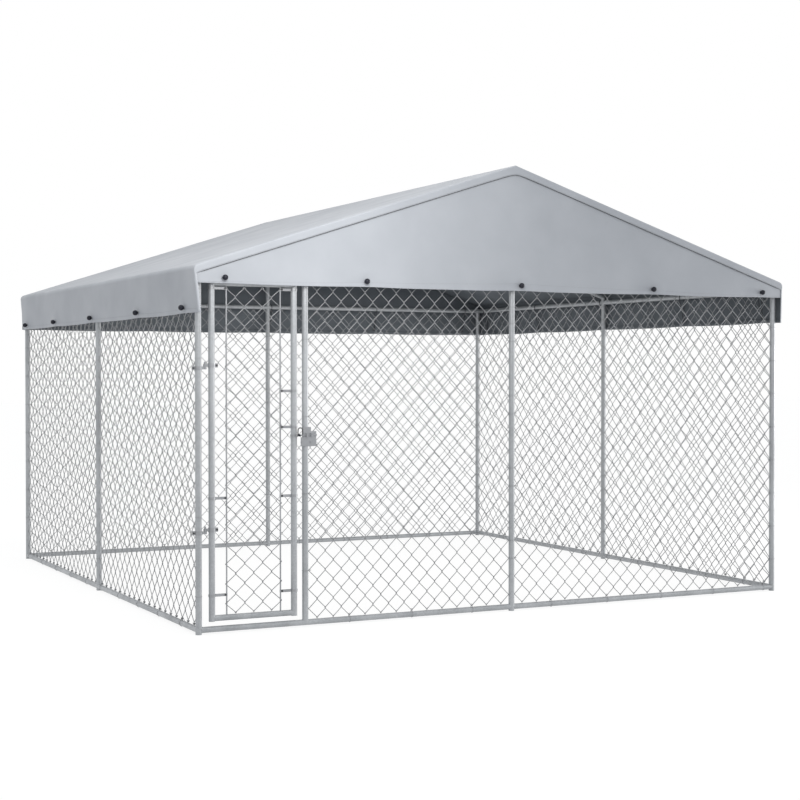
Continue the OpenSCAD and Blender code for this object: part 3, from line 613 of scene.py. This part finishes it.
def half_profile():
    """Rows from the ridge to the right hem.

    Each row holds x, z, the direction in which the sheet is pushed, the share of the slope
    and of the valance that lies above it, and its layer of the hem.
    """
    rows = []
    upright = math.pi / 2
    for angle in np.linspace(upright, upright - SLOPE, RIDGE_ROWS):
        rows.append((RIDGE_R * math.cos(angle), RIDGE_AT[1] + RIDGE_R * math.sin(angle), angle, 0, 0, 0))
    top = np.array(rows[-1][:2])
    eave = np.array(FOLD_AT) + FOLD_R * np.array([math.sin(SLOPE), math.cos(SLOPE)])
    for share in np.linspace(0, 1, SLOPE_ROWS)[1:-1]:
        rows.append((*(top + (eave - top) * share), upright - SLOPE, share, 0, 0))
    for angle in np.linspace(upright - SLOPE, -LEAN, FOLD_ROWS):
        x = FOLD_AT[0] + FOLD_R * math.cos(angle)
        rows.append((x, FOLD_AT[1] + FOLD_R * math.sin(angle), angle, 1, 0, 0))
    fold_z = SIDE_HEM_Z + HEM_R
    drop = VALANCE_TOP[1] - fold_z
    for share in np.linspace(0, 1, VALANCE_ROWS)[1:]:
        z = VALANCE_TOP[1] - share * drop
        rows.append((valance_x(z), z, -LEAN, 1, share, 0))
    for angle in HEM_ANGLES:
        x = valance_x(fold_z) - HEM_R + HEM_R * math.cos(angle)
        rows.append((x, fold_z + HEM_R * math.sin(angle), -LEAN, 1, 1, 0.5))
    for share in (0, 0.5, 1):
        z = fold_z + share * HEM_W
        rows.append((valance_x(z) - 2 * HEM_R, z, -LEAN, 1, 1 - share * HEM_W / drop, 1))
    profile = np.array(rows, float)
    angles = profile[:, 2]
    return np.column_stack([profile[:, :2], np.cos(angles), np.sin(angles), profile[:, 3:]])


def mirrored(profile):
    return profile * (-1, 1, -1, 1, 1, 1, 1)


def roof_points(profile, y):
    """Positions of the roof sheet with its sag, waves and leaning corners.

    The places along the run, y, are one row for all points or one value for each.
    """
    x, z, push_x, push_z, along, down, _ = (profile[:, k][:, None] for k in range(7))
    side = np.sign(x)
    spots = fastener_spots(HALF_D)
    bay = np.where(np.abs(y) < HALF_D, np.sin(math.pi * (y + HALF_D) / BAY) ** 2, 0)
    held = np.sin(math.pi * along)
    push = held * (UNEVEN * ripple(x, y) - ROOF_SAG * bay)
    wave, loose = hem_wave(y, spots, ROOF_PHASE + side)
    push = push + down * VALANCE_WAVE * wave + np.where(down > 0, pucker(y, z - SIDE_HEM_Z, spots), 0)
    ends = np.exp(-((y + GABLE_Y) / CORNER_REACH) ** 2) + np.exp(-((GABLE_Y - y) / CORNER_REACH) ** 2)
    slide = -down * ends * np.where(side < 0, CORNER_LEAN, 0)
    sink = -down * HEM_DROOP * loose
    points = np.broadcast_arrays(x + push_x * push, y + slide, z + push_z * push + sink)
    return np.stack(points, -1)


def band_line(x):
    """Height of the lower edge of the band that wraps over a gable."""
    rounded = np.sqrt(np.square(x) + APEX_ROUND ** 2)
    return RIDGE_Z - RAKE_BAND / math.cos(SLOPE) - rounded * math.tan(SLOPE)


def rake_rows(profile, end):
    """Rows of the roof sheet that turn over a gable into its band, roof first; end is -1 or 1."""
    down = profile[:, 5]
    radius = np.where(profile[:, 4] < 1, RAKE_TURN, CORNER_TURN)[:, None]
    layer = profile[:, 6][:, None] * 2 * HEM_R
    edge = roof_points(profile, end * (GABLE_Y - radius))[:, 0]
    side = np.sign(profile[:, 0])
    x = np.abs(edge[:, 0])
    corner_x = EAVE_X - CORNER_BAND
    corner_z = band_line(corner_x)
    target_x = np.where(down > 0, x - CORNER_BAND, np.minimum(x, corner_x))
    target_z = np.where(down > 0, np.minimum(edge[:, 2], corner_z), band_line(target_x))
    run = np.stack([side * target_x - edge[:, 0], np.zeros_like(x), target_z - edge[:, 2]], -1)
    length = np.linalg.norm(run, axis=1)[:, None]
    heading = run / length
    out = np.array([0, end, 0])
    rows = [edge]
    for turn in RAKE_ANGLES:
        step = (radius - layer) * (math.sin(turn) * out + (1 - math.cos(turn)) * heading)
        rows.append(edge + step)
    for share in BAND_SHARES:
        rows.append(edge + (radius - layer) * out + heading * (radius + share * (length - radius)))
    return rows


def roof_line_z(x, inset):
    """Height of the roof sheet's outer face at x, moved inwards by inset."""
    x = np.abs(x)
    fold_r = FOLD_R - inset
    slope_z = RIDGE_Z - x * math.tan(SLOPE) - inset / math.cos(SLOPE)
    fold_z = FOLD_AT[1] + np.sqrt(np.maximum(fold_r ** 2 - (x - FOLD_AT[0]) ** 2, 0))
    ridge_z = RIDGE_AT[1] + np.sqrt(np.maximum((RIDGE_R - 0.5 * inset) ** 2 - x ** 2, 0)) - 0.5 * inset
    line = np.where(x > FOLD_AT[0] + fold_r * math.sin(SLOPE), fold_z, slope_z)
    return np.where(x < RIDGE_R * math.sin(SLOPE), np.minimum(ridge_z, line), line)


def add_thickness(piece):
    """Gives a sheet its thickness on the inside, in the inner colour."""
    solid = piece.modifiers.new("thickness", "SOLIDIFY")
    solid.thickness = SHEET_T
    solid.offset = -1
    solid.material_offset = 1


def colour_hem(mesh, layers, columns, by_rows):
    """Gives the turned-in layer of a hem the inner colour; layers has one value for each row."""
    strips = ((layers[:-1] + layers[1:]) / 2 > TURNED_IN).astype(int)
    turned_in = np.repeat(strips, columns - 1) if by_rows else np.tile(strips, columns - 1)
    mesh.polygons.foreach_set("material_index", turned_in)


def polyline_length(points):
    return float(np.linalg.norm(np.diff(points, axis=0), axis=1).sum())


def roof_columns():
    """Places along the run where the flat part of the roof sheet has its points, as one row."""
    return np.linspace(-ROOF_INNER, ROOF_INNER, ROOF_COLUMNS)[None]


def build_roof():
    right = half_profile()
    profile = np.concatenate([mirrored(right)[:0:-1], right])
    main = roof_points(profile, roof_columns())
    front = np.stack(rake_rows(profile, -1)[::-1], 1)
    back = np.stack(rake_rows(profile, 1), 1)
    points = np.concatenate([front, main, back], 1)
    quads = grid_faces(points.shape[0], points.shape[1])
    mesh = new_mesh("canopy_roof_sheet", points.reshape(-1, 3), quads, CLOTH_OUT, CLOTH_IN)
    colour_hem(mesh, profile[:, 6], points.shape[1], True)
    roof = place("canopy_roof_sheet", mesh, "frame")
    add_thickness(roof)
    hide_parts("canopy_roof")
    return roof, (polyline_length(profile[:, :2]), 2 * (GABLE_Y + RAKE_BAND))


def gable_grid(hem_z, phase):
    """Positions of a gable sheet seen from its own outside, x to the right and y into the run."""
    ends = [1] * len(WRAPS)
    shares = np.concatenate([np.negative(ends), np.linspace(-1, 1, GABLE_COLUMNS), ends])
    level = np.zeros(GABLE_COLUMNS)
    angles = np.concatenate([[a for a, _ in WRAPS], level, [a for a, _ in WRAPS[::-1]]])
    tails = np.concatenate([[t for _, t in WRAPS], level, [t for _, t in WRAPS[::-1]]])
    rows = [(0.0, lift, layer) for lift, layer in GABLE_HEM]
    rows += [(share, 0.0, 0.0) for share in np.linspace(0, 1, GABLE_ROWS) ** GABLE_CROWDING]
    spots = fastener_spots(HALF_W)
    fold_z = hem_z + HEM_R
    grid = []
    for share, lift, layer in rows:
        edge_x = valance_x(np.full(shares.shape, fold_z + lift)) - SIDE_GAP
        x = shares * (edge_x - WRAP_R) + np.sign(shares) * WRAP_R * np.sin(angles)
        top_z = roof_line_z(x, ROOF_GAP)
        z = fold_z + lift + share * (top_z - fold_z)
        edge_x = np.minimum(valance_x(z), EAVE_X) - SIDE_GAP
        x = shares * (edge_x - WRAP_R) + np.sign(shares) * WRAP_R * np.sin(angles)
        height = z - hem_z
        near_hem = np.exp(-height / HEM_REACH)
        wave, loose = hem_wave(x, spots, phase)
        flat = np.cos(angles) * (1 - np.abs(shares) ** EDGE_POWER)
        push = near_hem * VALANCE_WAVE * wave + pucker(x, height, spots)
        uneven = ripple(GABLE_RIPPLES[0] * x, GABLE_RIPPLES[1] * z + phase)
        push = push + UNEVEN * uneven * np.sin(math.pi * share)
        push = push - GABLE_BULGE * math.sin(math.pi * share) * (1 - np.abs(shares) ** BULGE_POWER)
        y = -GABLE_FACE_Y - push * flat + WRAP_R * (1 - np.cos(angles)) + tails + layer * 2 * HEM_R
        z = z - near_hem * HEM_DROOP * loose * flat
        grid.append(np.stack([x, y, z], -1))
    return np.stack(grid)


def build_gable(name, node, hem_z, turned, phase):
    """A gable sheet; the back one is the front one turned round."""
    grid = gable_grid(hem_z, phase)
    if turned:
        grid = grid * (-1, -1, 1)
    quads = grid_faces(grid.shape[1], grid.shape[0])
    points = np.swapaxes(grid, 0, 1).reshape(-1, 3)
    mesh = new_mesh(name, points, quads, CLOTH_OUT, CLOTH_IN)
    layers = np.zeros(grid.shape[0])
    layers[:len(GABLE_HEM)] = [layer for _, layer in GABLE_HEM]
    colour_hem(mesh, layers, grid.shape[1], False)
    gable = place(name, mesh, "frame")
    add_thickness(gable)
    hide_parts(node)
    width = polyline_length(grid[len(GABLE_HEM)])
    height = polyline_length(grid[:, grid.shape[1] // 2])
    skirt = EAVE_Z - hem_z + HEM_W
    return gable, (width, height), width * (skirt + (height - skirt) / 2)


def stitch_points(line):
    """Places of the stitches along a line of points."""
    steps = np.concatenate([[0], np.cumsum(np.linalg.norm(np.diff(line, axis=0), axis=1))])
    where = np.arange(STITCH_MARGIN, steps[-1] - STITCH_MARGIN, STITCH_STEP)
    return np.stack([np.interp(where, steps, line[:, k]) for k in range(3)], -1)


def side_hem_line(side):
    """Line of stitches on the outside of a side hem, between the two rows of the sheet next to it."""
    hem_line = SIDE_HEM_Z + HEM_R + HEM_STITCH_RISE
    profile = half_profile()
    valance = profile[(profile[:, 5] > 0) & (profile[:, 6] == 0)]
    below = int(np.argmax(valance[:, 1] < hem_line))
    rows = valance[below - 1:below + 1]
    share = (rows[0, 1] - hem_line) / (rows[0, 1] - rows[1, 1])
    upper, lower = roof_points(rows if side > 0 else mirrored(rows), roof_columns())
    return upper * (1 - share) + lower * share


def build_shadow_lines_and_stitching():
    """Dark strip along the lower edge of the band over each gable, a painted shadow line that stands in for
    the shade under the band's edge, and the stitching of the bands and hems.
    """
    corner_x = EAVE_X - CORNER_BAND - SHADOW_LINE_END
    right_x = np.linspace(SHADOW_LINE_APEX, corner_x, SHADOW_LINE_SLOPE_POINTS)
    apex_x = np.linspace(-SHADOW_LINE_APEX, SHADOW_LINE_APEX, SHADOW_LINE_APEX_POINTS)[1:-1]
    x = np.concatenate([-right_x[::-1], apex_x, right_x])
    shadow_line_parts, stitches = [], []
    for end in (-1, 1):
        path = np.stack([x, np.full_like(x, end * (GABLE_Y - SHADOW_LINE_SINK)), band_line(x)], -1)
        shadow_line_parts.append(sweep(path, SHADOW_LINE_R, SHADOW_LINE_SIDES))
        line = np.arange(-corner_x, corner_x, STITCH_STEP)
        points = np.stack([line, np.full_like(line, end * GABLE_Y), band_line(line) + RAKE_STITCH_RISE], -1)
        stitches.append((points, np.array([0.0, end, 0.0])))
    for side in (-1, 1):
        out = np.array([side * math.cos(LEAN), 0, -math.sin(LEAN)])
        stitches.append((stitch_points(side_hem_line(side)), out))
    shadow_line_mesh = new_mesh("canopy_rake_shadow_line", *joined(shadow_line_parts), PAINTED_SHADOW_LINE)
    shadow_lines = place("canopy_rake_shadow_line", shadow_line_mesh, "frame")
    blocks = []
    for points, out in stitches:
        along = np.gradient(points, axis=0)
        outward = np.tile(out, (len(points), 1))
        blocks.append(bars(points + outward * STITCH_LIFT, along, outward, STITCH))
    thread_mesh = new_mesh("canopy_stitching", *joined(blocks), THREAD)
    threads = place("canopy_stitching", thread_mesh, "frame")
    return shadow_lines, threads


def gable_stitching(name, hem_z, turned, phase):
    """Stitching along the hem of a gable sheet."""
    grid = gable_grid(hem_z, phase)
    first = len(GABLE_HEM)
    rows = grid[first:first + STITCH_ROWS, len(WRAPS):-len(WRAPS)]
    target = hem_z + HEM_R + HEM_STITCH_RISE
    heights = rows[:, :, 2].mean(axis=1)
    above = int(np.searchsorted(heights, target))
    share = (target - heights[above - 1]) / (heights[above] - heights[above - 1])
    line = rows[above - 1] * (1 - share) + rows[above] * share
    points = stitch_points(line)
    out = np.tile((0.0, -1.0, 0.0), (len(points), 1))
    if turned:
        points = points * (-1, -1, 1)
        out = -out
    blocks = bars(points + out * STITCH_LIFT, np.gradient(points, axis=0), out, STITCH)
    mesh = new_mesh(name, *blocks, THREAD)
    return place(name, mesh, "frame")


def build_cords():
    """Elastic loops, each from its ball through the eyelet and round the rail."""
    parts = []
    side_z = SIDE_HEM_Z + EYELET_RISE
    for side in (-1, 1):
        for y in fastener_spots(HALF_D):
            eyelet = (side * valance_x(side_z), y, side_z)
            out = (side * math.cos(LEAN), 0, -math.sin(LEAN))
            parts += cord_parts(eyelet, out, (side * HALF_W, y, TOP_RAIL_Z))
    for end, hem_z in ((-1, FRONT_HEM_Z), (1, BACK_HEM_Z)):
        for x in fastener_spots(HALF_W):
            eyelet = (x, end * GABLE_FACE_Y, hem_z + EYELET_RISE)
            parts += cord_parts(eyelet, (0, end, 0), (x, end * HALF_D, TOP_RAIL_Z))
    mesh = new_mesh("elastic_cord_loops", *joined(parts), CORD)
    cords = place("elastic_cord_loops", mesh, "frame")
    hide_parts("elastic_loops")


def cord_parts(eyelet, out, rail):
    """The stem through one eyelet and the loop round the rail above it."""
    eyelet = np.array(eyelet)
    out = np.array(out)
    level = np.array([out[0], out[1], 0.0])
    level /= np.linalg.norm(level)
    neck = eyelet - NECK * out
    rail = np.array(rail)
    flat_neck = (level.dot(neck - rail), neck[2] - rail[2])
    path = belt((0, 0), RAIL_R + CORD_R + CORD_SLACK, flat_neck, CORD_R + NECK_SLACK)
    loop = [rail + level * a + np.array([0, 0, b]) for a, b in path]
    stem = [neck + out * reach for reach in STEM]
    return [sweep(loop, CORD_R, CORD_SIDES, closed=True), sweep(stem, CORD_R, CORD_SIDES)]


def build_canopy():
    front_form = (FRONT_HEM_Z, False, FRONT_PHASE)
    back_form = (BACK_HEM_Z, True, BACK_PHASE)
    roof, roof_flat = build_roof()
    front, front_flat, front_area = build_gable("canopy_front_sheet", "canopy_gable_front", *front_form)
    back, back_flat, back_area = build_gable("canopy_back_sheet", "canopy_gable_back", *back_form)
    shadow_lines, threads = build_shadow_lines_and_stitching()
    front_thread = gable_stitching("canopy_front_stitching", *front_form)
    back_thread = gable_stitching("canopy_back_stitching", *back_form)


# Stage, light and camera

# Each lamp: name, place, aim, size, watts and spread in degrees
LAMP_COLOUR = (1.0, 0.985, 0.955)
LAMPS = (
    ("key", (-1.7, -3.8, 2.8), (-1.3, -1.95, 2.25), 1.2, 13.0, 100),
    ("side", (7.0, -3.2, 1.2), (1.5, -1.9, 1.0), 2.0, 150, 180),
    ("top", (-1.6, -1.8, 7.0), (-0.9, -0.2, 2.2), 2.5, 70, 180),
    ("inside", (0.0, 0.1, 2.04), (0.0, 0.1, 0.0), 3.2, 26, 180))
SKY_COLOUR = (0.97, 0.985, 1.0, 1)
SKY_LIGHT = 0.67
FLOOR_SIZE = 60.0
FLOOR_COLOUR = (0.82, 0.82, 0.82, 1)
FLOOR_GLOW = 1.15
FLOOR_WHITE = 0.74
WHITE = (1, 1, 1, 1)
CAMERA_AT = (-4.676, -9.865, 1.389)
CAMERA_TURN = (math.radians(88.977), 0, math.radians(-26.422))
LENS = 71.415
SENSOR_WIDTH = 36.0
CLIP_END = 200.0


def white_for_camera(tree, share):
    """Share of a plain white seen by the camera and in reflections, and none for other light."""
    path = add(tree, "ShaderNodeLightPath")
    seen = path.outputs["Is Camera Ray"]
    for name in ("Is Glossy Ray", "Is Transmission Ray"):
        either = add(tree, "ShaderNodeMath", operation="MAXIMUM")
        tree.links.new(seen, either.inputs[0])
        tree.links.new(path.outputs[name], either.inputs[1])
        seen = either.outputs[0]
    scaled = add(tree, "ShaderNodeMath", operation="MULTIPLY", inputs={1: share})
    tree.links.new(seen, scaled.inputs[0])
    return scaled.outputs[0]


def build_floor():
    material, tree, shader = new_material("floor_white", roughness=0.9, specular=0.1)
    shader.inputs["Base Color"].default_value = FLOOR_COLOUR
    glow = add(tree, "ShaderNodeEmission", {"Color": WHITE, "Strength": FLOOR_GLOW})
    blend = add(tree, "ShaderNodeMixShader")
    tree.links.new(white_for_camera(tree, FLOOR_WHITE), blend.inputs["Fac"])
    tree.links.new(shader.outputs["BSDF"], blend.inputs[1])
    tree.links.new(glow.outputs["Emission"], blend.inputs[2])
    tree.links.new(blend.outputs["Shader"], tree.nodes["Material Output"].inputs["Surface"])
    mesh = bpy.data.meshes.new("floor")
    corners = [(FLOOR_SIZE * a, FLOOR_SIZE * b, 0) for a, b in ((-1, -1), (1, -1), (1, 1), (-1, 1))]
    mesh.from_pydata(corners, [], [(0, 1, 2, 3)])
    mesh.materials.append(material)
    floor = bpy.data.objects.new("floor", mesh)
    bpy.context.scene.collection.objects.link(floor)


def build_world():
    world = bpy.data.worlds.new("studio")
    bpy.context.scene.world = world
    world.use_nodes = True
    tree = world.node_tree
    soft = tree.nodes["Background"]
    soft.inputs["Color"].default_value = SKY_COLOUR
    soft.inputs["Strength"].default_value = SKY_LIGHT
    white = add(tree, "ShaderNodeBackground", {"Color": WHITE, "Strength": 1.0})
    blend = add(tree, "ShaderNodeMixShader")
    tree.links.new(white_for_camera(tree, 1.0), blend.inputs["Fac"])
    tree.links.new(soft.outputs["Background"], blend.inputs[1])
    tree.links.new(white.outputs["Background"], blend.inputs[2])
    tree.links.new(blend.outputs["Shader"], tree.nodes["World Output"].inputs["Surface"])


def area_light(name, location, target, size, power, spread_angle):
    lamp = bpy.data.lights.new(name, "AREA")
    lamp.shape = "SQUARE"
    lamp.size = size
    lamp.color = LAMP_COLOUR
    lamp.energy = power
    lamp.spread = math.radians(spread_angle)
    light = bpy.data.objects.new(name, lamp)
    bpy.context.scene.collection.objects.link(light)
    light.visible_camera = False
    light.location = location
    light.rotation_euler = (Vector(target) - Vector(location)).to_track_quat("-Z", "Y").to_euler()


def build_camera():
    lens = bpy.data.cameras.new("camera")
    lens.sensor_width = SENSOR_WIDTH
    lens.lens = LENS
    lens.clip_end = CLIP_END
    camera = bpy.data.objects.new("camera", lens)
    bpy.context.scene.collection.objects.link(camera)
    camera.location = CAMERA_AT
    camera.rotation_euler = CAMERA_TURN
    bpy.context.scene.camera = camera


finish_cad_nodes()
build_panels()
build_gate_mesh()
build_canopy()
build_cords()
build_floor()
build_world()
for lamp in LAMPS:
    area_light(*lamp)
build_camera()
bpy.context.scene.view_settings.view_transform = "Standard"
